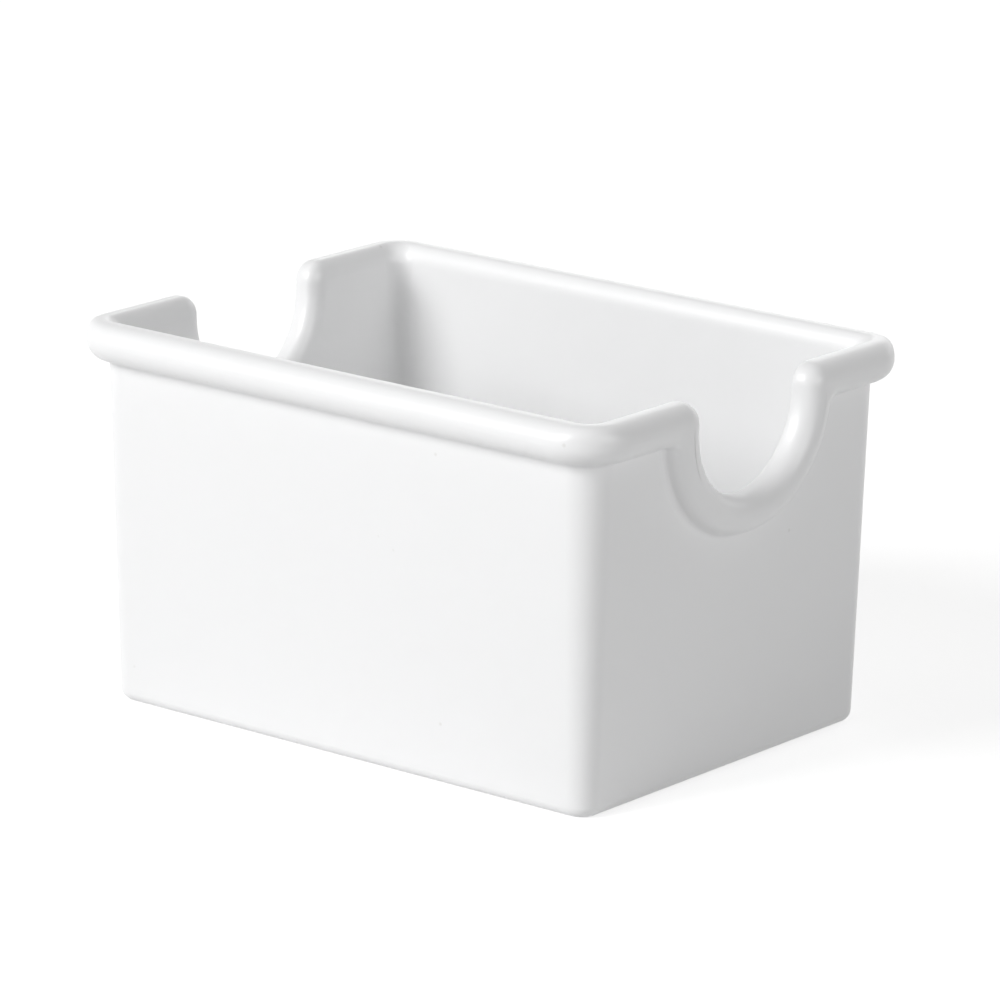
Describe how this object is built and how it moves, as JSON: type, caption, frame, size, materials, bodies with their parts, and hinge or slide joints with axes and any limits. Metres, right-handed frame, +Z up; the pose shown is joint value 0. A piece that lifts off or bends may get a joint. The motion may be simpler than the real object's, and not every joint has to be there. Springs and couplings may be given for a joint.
{
  "type": "sugar packet holder",
  "caption": "Open rectangular tub with a rounded rim that dips round a finger notch in each short end, for standing sugar packets on a table.",
  "frame": {"origin": "on the table, under the middle of the tub", "axes": "+X along the long side, +Y across it, +Z up"},
  "size_m": [0.09, 0.068, 0.0525],
  "materials": {
    "melamine": "polished moulded melamine, plain white"
  },
  "bodies": {
    "root": {"base": "melamine", "front_wall": "melamine", "back_wall": "melamine", "left_end_wall": "melamine", "right_end_wall": "melamine", "rim": "melamine"}
  },
  "joints": []
}
